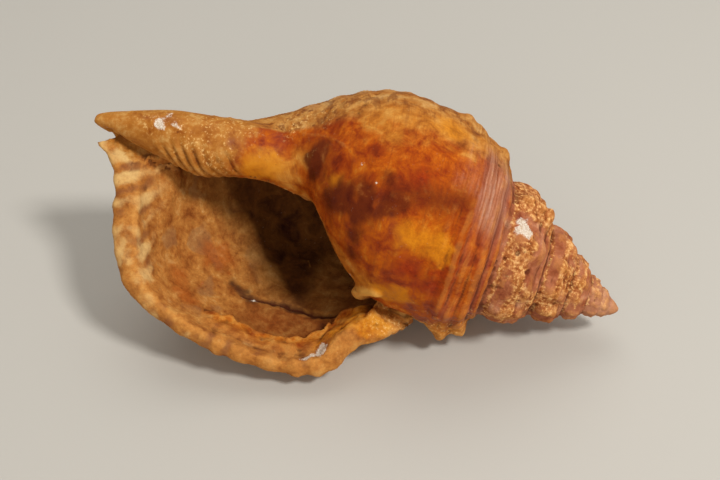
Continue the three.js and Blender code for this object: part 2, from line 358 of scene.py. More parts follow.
def hollow_ring(angle, forward, flare, clear):
    """Points round the hollow at a growth angle, with their section points, -1 on the inner side."""
    scale = scale_at(angle)
    grown = np.clip(angle / HOLLOW["callus_by"], 0, 1)
    steps = np.linspace(0, 1, HOLLOW_COLUMNS)
    to = mix(HOLLOW["at_lip"], HOLLOW["inside"], np.clip(angle / HOLLOW["narrow_by"], 0, 1))
    along = mix(HOLLOW["from"], to, steps)
    depth, radius, out = section(np.full(len(steps), float(angle)), along)
    corner = CORNER_EXTRA * np.maximum(0, 1 - 2.5 * steps)
    wall = scale * (WALL + fade(angle, 0, 90) * (LIP_EXTRA + corner)) - flare
    floor = smoothstep(along, *CANAL_FLOOR["points"])
    floor = floor * hump(angle - CANAL_FLOOR["angle"], CANAL_FLOOR["spread"])
    wall = wall + CANAL_FLOOR["height"] * floor
    outer_depth, outer_radius = depth - out[:, 0] * wall, radius - out[:, 1] * wall
    inner_depth = mix(outer_depth[-1], outer_depth[0], steps)
    fine = np.linspace(0, LAST_POINT, 4 * LAST_POINT + 1)
    before_depth, before_radius, _ = section(np.full(len(fine), angle + 360.0), fine)
    tooth = TOOTH["height"] * hump(inner_depth / scale - TOOTH["depth"], TOOTH["width"])
    tooth = tooth * hump(angle, TOOTH["reach"]) * (0 if clear else 1)
    inner = np.interp(inner_depth, before_depth, before_radius) + CALLUS * grown + tooth + clear
    inner = np.maximum(inner, COLUMELLA * scale * min(1, 0.3 + grown))
    points = in_space(np.append(outer_depth, inner_depth), np.append(outer_radius, inner),
                      float(angle), forward)
    return points, np.append(along, -np.ones(len(steps)))


def hollow():
    """The space up the inside of the last turn."""
    grown = Growing(INSIDE)
    shapes = [(0, *ring) for ring in MOUTH_RINGS]
    shapes += [(angle, 0, 0, 0) for angle in np.arange(0, HOLLOW["end"] + 1, HOLLOW_STEP)]
    rings = []
    for shape in shapes:
        points, along = hollow_ring(*shape)
        rings.append(grown.add(points, float(shape[0]), along))
    grown.tube(rings, 1, 0)
    return grown


def pillar():
    """The columella, which ends as the canal's upper edge."""
    grown = Growing(AXIS)
    table = np.concatenate([PILLAR[:1], PILLAR, PILLAR[-1:]])
    places = np.linspace(0, len(PILLAR) - 1, 90)
    shape, _ = smooth_curve(np.broadcast_to(table, (len(places), *table.shape)), places)
    turn = np.linspace(0, 2 * np.pi, PILLAR_SIDES, endpoint=False)
    rings = []
    for depth, centre, radius in shape:
        across = canal_bend(depth) + centre + radius * np.cos(turn)
        ring = np.stack([across, radius * np.sin(turn), np.full(len(turn), -depth)], -1)
        rings.append(grown.add(ring, np.degrees(turn), depth))
    grown.tube(rings, 2, 2)
    return grown


def evaluated_mesh(made):
    bpy.context.view_layer.update()
    shown = made.evaluated_get(bpy.context.evaluated_depsgraph_get())
    return bpy.data.meshes.new_from_object(shown)


def grow_shell(parts):
    """The outside less the hollow, joined to the pillar, as one even mesh."""
    whole, space, axis = [part.object("growing") for part in parts]
    for other, operation in [(space, "DIFFERENCE"), (axis, "UNION")]:
        cut = whole.modifiers.new(operation, "BOOLEAN")
        cut.operation = operation
        cut.solver = "MANIFOLD"
        cut.object = other
    even = whole.modifiers.new("even", "REMESH")
    even.mode = "VOXEL"
    even.voxel_size = VOXEL
    even.adaptivity = 0
    soft = whole.modifiers.new("soft", "SMOOTH")
    soft.factor = 0.5
    soft.iterations = 3
    mesh = evaluated_mesh(whole)
    for made in (whole, space, axis):
        bpy.data.objects.remove(made)
    return mesh


def read(items, name):
    """Three numbers for each item, as rows."""
    values = np.empty(len(items) * 3, np.float32)
    items.foreach_get(name, values)
    return values.reshape(-1, 3).astype(float)


def read_points(mesh):
    return read(mesh.vertices, "co")


def read_normals(mesh):
    return read(mesh.vertex_normals, "vector")


def write_points(mesh, points):
    mesh.vertices.foreach_set("co", points.astype(np.float32).ravel())
    mesh.update()


# ---- where each point of the mesh lies on the shell ----
class Places:
    """For each mesh point: its surface, growth angle, section point, scale and lip-scale depth."""

    def __init__(self, points, parts):
        surface = np.concatenate([np.full(part.count, part.surface) for part in parts])
        known, angle, along = (np.concatenate([row for part in parts for row in getattr(part, kind)])
                               for kind in ("points", "angles", "along"))
        surface[(surface == INSIDE) & (along < 0)] = INNER
        tree = kdtree.KDTree(len(known))
        for name, point in enumerate(known):
            tree.insert(point, name)
        tree.balance()
        nearest = np.array([tree.find(point)[1] for point in points])
        self.points = points
        self.surface = surface[nearest]
        self.depth = -points[:, 2]
        x = points[:, 0] - canal_bend(self.depth)
        y = points[:, 1] + lean(np.hypot(x, points[:, 1]), angle[nearest])
        self.radius = np.hypot(x, y)
        turned = np.degrees(np.arctan2(y, x))
        near = angle[nearest]
        self.angle = np.where(self.surface == AXIS, turned % 360,
                              near + (turned - near + 180) % 360 - 180)
        self.scale = scale_at(self.angle)
        self.along = np.where(self.surface == AXIS, LAST_POINT, along[nearest])
        self.refine()
        self.level = self.depth / self.scale
        self.turned = turned % 360

    def refine(self):
        """Slides each section point along the section to the place nearest the mesh point."""
        which = np.isin(self.surface, (OUTSIDE, INSIDE))
        place = np.stack([self.depth, self.radius], -1)[which]
        control = control_points(self.angle[which])
        along = self.along[which]
        for _ in range(2):
            here, direction = smooth_curve(control, along)
            step = ((place - here) * direction).sum(-1) / (direction ** 2).sum(-1)
            along = np.clip(along + np.clip(step, -0.5, 0.5), 0, LAST_POINT)
        self.along[which] = along

    def on(self, *surfaces):
        return np.isin(self.surface, surfaces).astype(float)


# ---- laying it down ----
def laid_down():
    """The matrix from the shell's own millimetres to the frame's metres."""
    up = -DOWN / np.linalg.norm(DOWN)
    along = np.array([0, 0, 1]) - up[2] * up
    along /= np.linalg.norm(along)
    turn = np.stack([along, np.cross(up, along), up])
    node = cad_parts["shell"].data
    corners = read_points(node)
    tip = corners[corners[:, 0].argmax()]
    return turn / 1000, tip - turn @ [0, 0, -TIP_DEPTH] / 1000


TURN, SHIFT = laid_down()


def to_frame(points):
    return points @ TURN.T + SHIFT


# ---- relief ----
WRINKLES = {"depths": (161, 193), "every": 4.4, "slant": 0.15, "from": 330, "height": 1.2}
SPIRAL_RIDGES = [                # level, height, width: a minus is a groove
    (79.5, -0.5, 1.1), (81.6, 0.5, 1.4), (84, -0.8, 1.3), (88.2, 0.8, 2.2), (91.6, -0.3, 1.3),
    (94.5, 0.3, 1.9), (98, -0.5, 1.4), (102, 0.7, 3), (106, -0.3, 1.2), (110, 0.4, 3),
    *[(level, 0.4, 3.5) for level in range(120, 160, 10)], (160, 0.4, 3), (170, 0.4, 3), (180, 0.4, 2.5),
]
SHOULDER_KNOBS = [               # x, y, z, radius, height
    (-37, -8, -70.5, 5.5, 2.6), (-42, -9, -82, 5, 1), (-44, -6, -89, 5.5, 2.2), (-26, -25, -64, 5, 0.8),
    (-5, -24, -45, 4.2, 1.6), (-7, -26, -53, 3.6, 0.8), (-21, -13, -46, 4, 1.4), (10, -19, -45, 4, 1.4),
    (-13, -11, -30, 2.8, 0.9), (0, -16, -31, 2.8, 0.9), (36, -4, -70, 5, 0.8),
]
THREADS = {"every": 1.3, "height": 0.07}       # fine threads between the cords
# Lines along the lip's face, as (section point, growth angle): the crease and the scalloped ledge.
CREASE = [(3.4, 19), (4.26, 20.7), (5.34, 21.6), (6.25, 23.6), (6.96, 22), (7.8, 20)]
SCALLOPS = [(2.6, 15.5), (3.15, 16.5), (4.1, 14.5), (4.9, 11.6), (5.7, 9.2), (6.6, 8), (7.4, 9.5), (8.2, 8)]
SCALLOP_EVERY = 8.4
RIM_BUMPS = {"every": 10.5, "height": 0.6, "reach": 9}
LAST_WHORL = 365                 # growth angle where the outside of the last whorl ends
WORM_TRACKS = [                  # path and height
    ([(40, 20, -182), (42, 19, -185), (41, 19, -188), (44, 17, -190)], 0.5),
    ([(31, 43, -131), (34, 42, -130), (36, 40, -128), (35, 41, -125), (37, 39, -123)], 0.7),
    ([(49, 24, -164), (50, 24, -160), (48, 26, -157)], 0.35),
]
# Lines in the shell's own millimetres: the tooth in the mouth's corner and the groove by the canal.
TOOTH_LINE = [(36, 4, -99.5), (35, -7, -99.5), (33, -14, -98), (32, -18, -94)]
GUTTER = [(20, -1, -217), (21, -0.5, -209), (22, 0, -201), (22, 2, -194), (21, 6, -189)]


def arc_along_lip(along):
    """Length along the lip's edge to each section point."""
    fine = np.linspace(0, LAST_POINT, 20 * LAST_POINT)
    depth, radius, _ = section(np.zeros(len(fine)), fine)
    length = np.append(0, np.cumsum(np.hypot(np.diff(depth), np.diff(radius))))
    return np.interp(along, fine, length)


def near_line(place, line):
    """How many millimetres each point is in front of a line given as (section point, angle)."""
    at, angle = np.array(line).T
    return np.radians(np.interp(place.along, at, angle) - place.angle) * place.radius


def nearest_on(points, path):
    """Distance from each point to a path through given corners."""
    best = np.full(len(points), 1e9)
    for a, b in zip(np.array(path[:-1], float), np.array(path[1:], float)):
        share = np.clip((points - a) @ (b - a) / ((b - a) @ (b - a)), 0, 1)
        best = np.minimum(best, np.linalg.norm(points - a - share[:, None] * (b - a), axis=1))
    return best


def patches(points, centres, ragged=0.35):
    """Soft-edged blotches round listed (x, y, z, radius) centres, with ragged edges."""
    shape = np.maximum(0.4, 1 + ragged * fractal(points, 7, 41) + ragged * noise(points, 2.6, 47))
    total = np.zeros(len(points))
    for x, y, z, radius in centres:
        total += hump(np.linalg.norm(points - [x, y, z], axis=1) * shape, radius)
    return np.minimum(total, 1)


class Regions:
    """Soft masks, from 0 to 1, for the parts of the shell that differ in relief or colour.

    Limits on angle and turned are degrees, those on along are section points, and those on depth and
    level are millimetres, level at the lip's scale. The last two numbers of a noise are its size and seed.
    """

    def __init__(self, place):
        points = place.points
        angle, along, turned, depth, level = place.angle, place.along, place.turned, place.depth, place.level
        wander = fractal(points, 18, 11)
        outer, inside, inner, axis = [place.on(i) for i in (OUTSIDE, INSIDE, INNER, AXIS)]
        skin = np.maximum(outer, axis)
        last_whorl = angle < LAST_WHORL
        self.ventral = skin * smoothstep(turned + 12 * wander, 203, 240) * (turned < 352)
        self.ventral = self.ventral * last_whorl
        self.spire = outer * smoothstep(angle + 14 * wander, 500, 560)
        self.back = outer * last_whorl * smoothstep(-angle, -198, -170)
        sandy = fractal(points, 13, 71) + 0.9 * between(angle, 545, 588, 8)
        sandy = sandy + 0.6 * smoothstep(level, 110, 115) + 0.5 * hump(level - 97, 3)
        self.grainy = self.spire * smoothstep(sandy, 0.0, 0.6)
        self.sand = patches(points, SAND_PATCHES, 0.6)
        self.tooth = nearest_on(points, TOOTH_LINE) + 0.5 * noise(points, 3, 36)
        self.columella = np.clip(axis + outer * (along > 11) * (angle < 361), 0, 1)
        self.mouth = np.maximum(inside, inner)
        self.arc = arc_along_lip(along)
        self.from_edge = np.radians(np.maximum(angle, 0)) * place.radius
        # Painted shadow: past the line where the columella's shadow falls inside the lip, the hollow's colour
        # is darkened partly by its real stain and partly by painted shadow, and so is the inner wall; the
        # mouth's lower corner keeps less of this painted shadow.
        far = angle + 5 * wander + 0.7 * (150 - depth)
        corner = 0.9 * smoothstep(-depth, -128, -112) * (1 - smoothstep(angle, 52, 66))
        self.shadow_and_stain = np.maximum(inside * smoothstep(far, 43, 54), inner * smoothstep(angle, 4, 30))
        self.shadow_and_stain = self.shadow_and_stain * (1 - corner)
        # Painted half-shade: a darker band just short of that shadow line.
        self.painted_half_shade = inside * smoothstep(far, 22, 44)
        self.rim = np.maximum(inside, outer * (angle < 8)) * hump(self.from_edge, RIM_BUMPS["reach"])
        strength = 0.55 + 0.75 * noise(points, 17, 19)
        turns = 2 * np.pi * (self.arc + 6 * noise(points, 24, 21)) / RIM_BUMPS["every"]
        self.bumps = strength * np.cos(turns)
        scallop = 2.6 * np.abs(np.cos(np.pi * (self.arc + 2.5 * noise(points, 11, 23)) / SCALLOP_EVERY))
        self.front = near_line(place, SCALLOPS) - 1.3 + scallop + 0.5 * noise(points, 4.5, 24)
        self.ledge = inside * between(along, 2.2, 8.1, 0.5) * smoothstep(self.front, -0.9, 0.9)
        self.ledge = self.ledge * smoothstep(self.from_edge, 0.5, 5)
        self.ahead = near_line(place, CREASE) + 0.9 * noise(points, 6, 25) + 0.4 * noise(points, 2, 26)
        self.shelf = inside * between(along, 2, 7.4, 0.6) * smoothstep(self.ahead, -1, 1)
        self.shelf = self.shelf * (1 - self.ledge)
        self.crease = inside * between(along, 3.4, 7.4, 0.5) * hump(self.ahead + 0.6, 1.3)
        self.callus_edge = 209 + 1.12 * np.maximum(0, 160 - depth)
        self.crust = np.maximum(self.spire, outer * last_whorl * smoothstep(-level, -83, -79))
        self.pits = np.clip(self.crust + 0.6 * between(turned, 190, 226, 8) * outer, 0, 1)
        self.glaze = self.ventral * smoothstep(turned, self.callus_edge - 3, self.callus_edge + 3)


def spiral_relief(place, region):
    """Cords, grooves and fine threads round the whorls."""
    worn = 1 - 0.45 * region.ventral * smoothstep(place.level, 104, 112)
    beads = 0.5 + 0.5 * np.cos(np.radians(KNOBS_PER_TURN * place.angle))
    worn = worn + region.back * (1.3 + 1.3 * beads * hump(place.level - 104, 9))
    worn = worn + 0.6 * region.ventral * smoothstep(place.angle, 245, 285) * between(place.level, 79, 104, 3)
    size = np.minimum(1, place.scale * 1.15)
    height = np.zeros(len(place.points))
    level = place.level + 0.5 * noise(place.points, 9, 3)
    for at, most, width in SPIRAL_RIDGES:
        height += most * hump(level - at, width)
    region.cord = np.clip(height / 0.4, 0, 1)
    height *= 0.75 + 0.6 * noise(place.points, 13, 4)
    threads = THREADS["height"] * np.cos(2 * np.pi * level / THREADS["every"])
    uneven = 0.8 + 0.8 * noise(place.points, 10, 12)
    rows = 2.2 * between(place.level, 84, 112, 4) + 1.5 * hump(level - 90, 3.5) + 1.4 * hump(level - 105, 4)
    axial = beads ** 1.4 * rows * uneven + 1.2 * hump(level - 81, 3) - 0.6 * hump(level - 79, 1)
    fresh = place.on(OUTSIDE) * (place.along < 12) * smoothstep(place.angle, 8, 20)
    knobs = sum(most * hump(np.linalg.norm(place.points - [x, y, z], axis=1), radius)
                for x, y, z, radius, most in SHOULDER_KNOBS)
    return (height * worn + threads * worn + region.spire * axial) * size * fresh + knobs * fresh


def crust_relief(place, region):
    """Grains, pits and flaked patches on the spire, and worn unevenness everywhere."""
    points = place.points
    lumps = 0.5 * fractal(points, 15, 1) + 0.2 * fractal(points, 4.2, 2)
    grain = 0.5 * noise(points, 2.4, 5) + 0.5 * noise(points, 1.3, 6)
    patchy = smoothstep(fractal(points, 9, 7), -0.35, 0.25)
    flakes = np.clip(noise(points, 6.5, 8) * 4, -1, 1)
    crust = region.crust * (0.6 * grain * patchy * mix(0.35, 1, region.grainy) + 0.3 * flakes)
    crust += region.sand * (0.25 + 0.6 * grain)
    rare = smoothstep(noise(points, 9, 10), 0.0, 0.5)
    holes = -0.9 * region.pits * rare * smoothstep(0.36 - spots(points, 4.6, 9), 0, 0.15)
    return lumps * (1 - 0.5 * region.columella) + crust + holes


def lip_relief(place, region):
    """The flared lip's face: the rim's bumps, the scalloped ridge, the crease and worm tracks."""
    points = place.points
    inside = place.on(INSIDE)
    height = RIM_BUMPS["height"] * region.bumps * region.rim * between(place.along, 4, 8.5, 1.2)
    height += 0.3 * region.bumps * region.rim * smoothstep(place.along, 8, 9.5)
    height += 0.6 * region.rim * fractal(points, 5, 22)
    height += region.ledge * (2 + 1.1 * hump(region.front - 1.5, 1.8))
    crease = inside * between(place.along, 3.6, 7.5, 0.4)
    height += crease * (0.8 * hump(np.maximum(region.ahead - 1, 0), 6) * smoothstep(region.ahead, -0.6, 0.2)
                        - 1.3 * hump(region.ahead + 0.7, 1.1))
    grain = 0.5 * noise(points, 9, 27) + 0.35 * fractal(points, 4, 29) + 0.12 * noise(points, 1.7, 30)
    height += inside * grain
    height += region.ledge * 0.7 * noise(points, 4, 28)
    corner = (1 - smoothstep(place.along, 2.2, 4)) * hump(region.from_edge, 16) * (place.angle < 60)
    height += corner * (1.1 * noise(points, 6, 37) + 0.5 * noise(points, 2.6, 38)) * (1 - region.columella)
    for path, rise in WORM_TRACKS:
        height += inside * rise * hump(nearest_on(points, path), 0.75)
    return height


def columella_relief(place, region):
    """Slanting wrinkles on the columella, its callus's edge and the tooth above the mouth's corner."""
    low, high = WRINKLES["depths"]
    slid = place.depth + WRINKLES["slant"] * (place.turned - WRINKLES["from"])
    slid = slid + 1.1 * noise(place.points, 12, 31) + 0.5 * noise(place.points, 4, 32)
    wave = np.abs(np.cos(np.pi * (slid - low) / WRINKLES["every"])) ** 0.8
    where = between(slid, low, high, 1.5) * smoothstep(place.turned, 262, 318)
    where = where * (place.radius < 19) * (place.turned > 200)
    uneven = 0.85 + 0.7 * noise(place.points, 8, 33)
    height = WRINKLES["height"] * uneven * (wave - 0.6) * where * (1 - place.on(INSIDE))
    edge = place.turned - region.callus_edge
    callus = region.ventral * between(place.depth, 126, 160, 3)
    arc = np.radians(edge) * place.radius
    height += callus * (0.35 * hump(arc, 0.9) + 0.25 * smoothstep(arc, -1, 1))
    tooth = hump(region.tooth, 2.6)
    gutter = nearest_on(place.points, GUTTER)
    flaked = noise(place.points, 1.8, 35) > 0.1
    height -= 2.4 * hump(gutter, 1.9) * (place.turned > 180) + 0.8 * hump(gutter, 3.2) * flaked
    return height + 2.6 * tooth


def fine_relief(place, region):
    layers = (spiral_relief, crust_relief, lip_relief, columella_relief)
    return sum(layer(place, region) for layer in layers)


# ---- what is painted where ----
SAND_PATCHES = [                 # crumbs of sand stuck to the columella and the spire
    (9, -12, -184, 3), (12, -12, -179, 3), (14, -11, -174, 2.5), (14, -10, -170, 2.5), (-3, -8, -172, 5),
    (-4, -9, -165, 4), (9, -9, -203, 5), (2, -10, -180, 5), (5, -11, -190, 4), (-12, -7, -151, 5),
    (-17, -7, -148, 5), (-25, -12, -139, 4), (38, -3, -68, 6), (36, -8, -63, 6), (32, -3, -56, 6),
    (43, -7, -76, 6), (44, -6, -84, 5),
]
# Blotches as (x, y, z, radius) in the shell's own millimetres.
DARK_PATCHES = [
    (-4, -21, -134, 6.5), (-8, -21, -136, 4.5), (2, -18, -135, 4), (8, -25, -124, 6.5), (4, -31, -119, 6.5),
    (1, -36, -112, 5), (1, -40, -104, 5), (-2, -40, -101, 4.5), (-7, -39, -107, 4), (9, -35, -111, 5),
    (16, -31, -111, 4.5), (23, -25, -109, 4),
]
BAND = [(-3, -40, -104), (-6, -40, -95), (-8, -40, -86), (-11, -39, -80)]
GLOW_PATCHES = [
    (8, -39, -95, 6), (7, -39, -84, 7), (10, -38, -79, 5), (1, -28, -126, 5), (30, -23, -86, 6),
    (31, -21, -93, 6), (-34, -25, -94, 8), (12, -9, -158, 7), (6, -12, -150, 8),
]
DEEP_PATCHES = [(12, -37, -77, 5), (19, -34, -88, 6), (22, -31, -76, 6), (-12, -39, -97, 6)]
GOLD_PATCHES = [                 # the paler, golden top of the body, partly painted light, painted light on the shaded knobs near the floor, and the callus's yellow edge
    (-27, -25, -121, 8), (-31, -27, -107, 9), (-35, -23, -93, 8), (-22, -33, -112, 5), (-36, -20, -77, 7),
    (-31, -28, -84, 4), (-3, -13, -143, 5), (5, -10, -148, 6), (6, -10, -155, 6), (7, -8, -143, 5),
    (22, -21, -122, 3), (28, -22, -112, 3), (31, -24, -100, 3.5), (33, -20, -92, 4),
]
FLAME_PATCHES = [
    (71, 1, -130, 6), (70, 1, -123, 6), (69, -2, -116, 6), (66, 4, -112, 5), (73, -5, -132, 4),
    (60, -5, -101, 5), (50, 0, -99, 5), (47, -5, -92, 5), (46, 10, -97, 4), (75, -10, -136, 3),
    (56, 22, -128, 5), (58, 20, -152, 4), (49, 12, -188, 4),
]
HONEY_PATCHES = [                # the lip's foot, bright yellow and orange
    (51, -3, -99, 6), (46, 1, -97, 5), (47, -8, -92, 5), (45, -8, -86, 4), (56, -4, -103, 5),
    (61, -4, -108, 4), (40, 6, -97, 4),
]
BRUISES = [
    (57, 22, -146, 3), (58, 22, -142, 2.6), (59, 21, -138, 2.2), (57, 24, -150, 2), (55, 21, -120, 2),
    (38, -1, -95, 2.4), (37, -8, -93, 2), (39, 4, -97, 2.2),
]
BLUSH_PATCHES = [(49, 24, -164, 7), (47, 26, -157, 6), (60, 8, -170, 7), (66, 2, -160, 7), (62, 16, -122, 7),
                 (64, 14, -130, 6), (44, 14, -190, 6)]
# White marks as (x, y, z, radius): bare chips, and the smallest ones on the body are painted glints, painted
# highlights.
CHIPS_AND_GLINTS = [
    (7, -9, -199, 1.9), (6, -10, -193, 1.4), (3, -8, -197, 1.6), (-13, -24, -54, 1.7), (-11, -25, -53, 1.4),
    (66, -8, -106, 1.8), (63, -9, -103, 1.9), (64, -8, -104, 1.5), (-8, -34, -119, 0.7),
    (-4, -38, -111, 0.8), (38, 14, -193, 0.9), (36, 14, -194, 0.7), (52, 1, -190, 0.9), (50, 2, -191, 0.7),
    (60, 20, -143, 0.6), (59, 21, -138, 0.6), (57, 22, -126, 0.6), (31, -11, -106, 0.8),
]
REGION_MASKS = ("glaze", "ventral", "crust", "rim", "shadow_and_stain", "painted_half_shade", "mouth", "ledge", "shelf")
PATCH_MASKS = {"glow": GLOW_PATCHES, "ember": DEEP_PATCHES, "flame": FLAME_PATCHES, "honey": HONEY_PATCHES}


def paint(place, region):
    """The masks that the material reads, by name."""
    points = place.points
    angle, along, turned, depth, level = place.angle, place.along, place.turned, place.depth, place.level
    rough = fractal(points, 6, 51)
    outer, inside = place.on(OUTSIDE), place.on(INSIDE)
    rolled = outer * between(depth, 94, 150, 4) * smoothstep(turned + 6 * rough, 308, 326)
    body = outer * between(angle, 205, 360, 25)
    reach = 6.5 + 3 * fractal(points, 10, 52)
    edge = inside * hump(region.from_edge, reach) + outer * (angle < 3)
    crests = 0.45 * region.bumps + 1.1 * rough + 0.5 * smoothstep(along, 9.5, 11)
    cream = edge * smoothstep(crests, -0.1, 0.9)
    cream = cream * (1 - 0.6 * region.ledge) * mix(0.5, 1, smoothstep(along, 6, 8))
    troughs = -0.6 * region.bumps + 1.2 * fractal(points, 8, 53)
    stains = edge * smoothstep(troughs, 0.05, 0.9) * smoothstep(along, 4, 6)
    # Painted light: low marks the body's underside near the floor, which gets a golden painted bounce light
    # where it lies in shade.
    low = smoothstep(-to_frame(points)[:, 2], -0.028, -0.016)
    return {
        **{name: getattr(region, name) for name in REGION_MASKS},
        **{name: patches(points, centres) for name, centres in PATCH_MASKS.items()},
        "cream": cream,
        "stains": stains,
        "columella": smoothstep(depth + 6 * rough, 152, 176) * (place.radius < 22) * (1 - region.mouth),
        "grainy": np.maximum(region.grainy, region.sand),
        "seam": region.spire * hump(level - 79.5, 1.5),
        "smudge": inside * smoothstep(fractal(points, 12, 55), 0.05, 0.5),
        "blush": inside * patches(points, BLUSH_PATCHES),
        "dark": np.maximum(patches(points, DARK_PATCHES), 0.8 * hump(nearest_on(points, BAND), 6.5)),
        "chips_and_glints": patches(points, CHIPS_AND_GLINTS, 0.75) * (1 - place.on(INNER)),
        "pink": body * np.maximum(
            between(level + 3 * rough, 80, 100, 6) * (1 - 0.6 * smoothstep(angle, 250, 275)),
            0.55 * between(level + 5 * rough, 84, 116, 8) * between(angle, 212, 252, 9)),
        "mauve": body * (hump(level - 84, 2.2) + 0.7 * hump(level - 98, 1.8)
                         + 0.4 * hump(level - 91.6, 1.3)),
        "cord": region.cord * np.maximum(region.back, 0.5 * region.spire),
        "gold": np.maximum(patches(points, GOLD_PATCHES), 0.9 * rolled),
        "tooth": hump(region.tooth, 2.8),
        "bruise": np.maximum(region.crease, inside * patches(points, BRUISES)),
        # painted bounce light on the shaded underside near the floor
        "foot": low * (1 - region.mouth) * (1 - region.spire) * (angle > 280),
        "tip": region.spire * smoothstep(angle, 950, 2200),
    }


def spread(mesh, values, rounds):
    """Each point's values, averaged with its neighbours' this many times."""
    edges = np.empty(len(mesh.edges) * 2, np.int32)
    mesh.edges.foreach_get("vertices", edges)
    a, b = edges.reshape(-1, 2).T
    size = len(values)
    count = np.bincount(edges, minlength=size)
    for _ in range(rounds):
        near = [np.bincount(a, column[b], size) + np.bincount(b, column[a], size) for column in values.T]
        values = (values + np.stack(near, 1) / count[:, None]) / 2
    return values


def decimated(made):
    """Fewer triangles where the surface is plain."""
    triangles = sum(len(face.vertices) - 2 for face in made.data.polygons)
    fewer = made.modifiers.new("fewer", "DECIMATE")
    fewer.ratio = min(1, MOST_TRIANGLES / triangles)
    return evaluated_mesh(made)


def build_shell():
    parts = [outside(), hollow(), pillar()]
    mesh = grow_shell(parts)
    mesh.materials.clear()
    points = read_points(mesh)
    place = Places(points, parts)
    region = Regions(place)
    height = fine_relief(place, region) * smoothstep(to_frame(points)[:, 2] * 1000, *FLOOR_FADE)
    masks = paint(place, region)
    masks["level"] = place.level
    masks["turn"] = np.radians(place.angle)
    points = points + read_normals(mesh) * height[:, None]
    write_points(mesh, points)
    masks["cavity"] = ((spread(mesh, points, 10) - points) * read_normals(mesh)).sum(1)
    for name, values in masks.items():
        kept = mesh.attributes.new(name, "FLOAT", "POINT")
        kept.data.foreach_set("value", values.astype(np.float32))
    points = to_frame(points)
    points[:, 2] = np.maximum(points[:, 2], 0)
    write_points(mesh, points)
    rough = placed("rough", mesh)
    mesh = decimated(rough)
    bpy.data.objects.remove(rough)
    mesh.polygons.foreach_set("use_smooth", np.ones(len(mesh.polygons), bool))
    return placed("triton_shell", mesh)


# ---- the shell's material ----
def tint(red, green, blue):
    """A colour from the usual 0 to 255 numbers."""
    return tuple((value / 255) ** 2.2 for value in (red, green, blue)) + (1,)


class Nodes:
    """Short ways to place and join a material's nodes, and the noises that its colours share."""

    def __init__(self, material):
        material.use_nodes = True
        self.tree = material.node_tree
        self.surface = self.tree.nodes["Principled BSDF"]
        self.places = self.tree.nodes.new("ShaderNodeTexCoord").outputs["Object"]
        broad = self.noise(22, 4, 0.6, 0.6)
        middle = self.noise(7, 5, 0.62, 0.4)
        fine = self.noise(2.2, 5, 0.65)
        dust = self.noise(0.7, 3, 0.6)
        busy = self.math("MULTIPLY_ADD", middle, 0.65, self.times(fine, 0.35))
        crumbs = self.math("MULTIPLY_ADD", dust, 0.6, self.times(fine, 0.6))
        streaks = self.drawn_out(0.05, 0.14, 14.0, 5.0)
        self.noises = {"broad": broad, "middle": middle, "fine": fine, "dust": dust, "busy": busy,
                       "crumbs": crumbs, "streaks": streaks}

    def give(self, node, key, value):
        """Links another node's output to an input, or sets a plain value there."""
        if isinstance(value, bpy.types.NodeSocket):
            self.tree.links.new(value, node.inputs[key])
        else:
            node.inputs[key].default_value = value

    def add(self, kind, result=0, settings=None, **inputs):
        node = self.tree.nodes.new("ShaderNode" + kind)
        for name, value in (settings or {}).items():
            setattr(node, name, value)
        for name, value in inputs.items():
            self.give(node, name.replace("_", " "), value)
        return node.outputs[result]

    def mask(self, name):
        return self.add("Attribute", "Fac", {"attribute_name": name})

    def noise(self, size, detail, rough, distortion=0.0):
        """A noise with features of about this many millimetres."""
        return self.add("TexNoise", "Fac", Vector=self.places, Scale=1 / (size / 1000),
                        Detail=float(detail), Roughness=rough, Distortion=distortion)

    def drawn_out(self, across, along, scale, detail):
        """A noise drawn out along the whorls."""
        vector = self.add("CombineXYZ", X=self.times(self.mask("level"), across),
                          Y=self.times(self.mask("turn"), along))
        return self.add("TexNoise", "Fac", Vector=vector, Scale=scale, Detail=detail, Roughness=0.6)

    def math(self, operation, a, b, c=0.0):
        node = self.tree.nodes.new("ShaderNodeMath")
        node.operation = operation
        for key, value in enumerate((a, b, c)):
            self.give(node, key, value)
        return node.outputs[0]

    def times(self, a, b):
        return self.math("MULTIPLY", a, b)

    def ramp(self, value, low, high, start=0.0, end=1.0):
        return self.add("MapRange", 0, {"interpolation_type": "SMOOTHSTEP"}, Value=value,
                        From_Min=low, From_Max=high, To_Min=start, To_Max=end)

    def mix(self, share, under, over, blend="MIX"):
        node = self.tree.nodes.new("ShaderNodeMix")
        node.data_type = "RGBA"
        node.blend_type = blend
        over = tint(*over) if isinstance(over, tuple) else over
        for key, value in ((0, share), (6, under), (7, over)):
            self.give(node, key, value)
        return node.outputs[2]

    def tones(self, noise, *stops):
        """A shared noise coloured by (place, red, green, blue) stops."""
        node = self.tree.nodes.new("ShaderNodeValToRGB")
        while len(node.color_ramp.elements) < len(stops):
            node.color_ramp.elements.new(0.5)
        for element, (place, *colour) in zip(node.color_ramp.elements, stops):
            element.position = place
            element.color = tint(*colour)
        self.tree.links.new(self.noises[noise], node.inputs[0])
        return node.outputs[0]

    def layers(self, colour, *rows):
        """Lays colours over the first one in turn, each where a mask is, with edges a noise makes uneven."""
        for mask, noise, low, high, uneven, over, *share in rows:
            fuzz = self.math("SUBTRACT", self.noises[noise], 0.5)
            where = self.ramp(self.math("MULTIPLY_ADD", fuzz, uneven, self.mask(mask)), low, high)
            colour = self.mix(self.times(where, *share) if share else where, colour, over)
        return colour


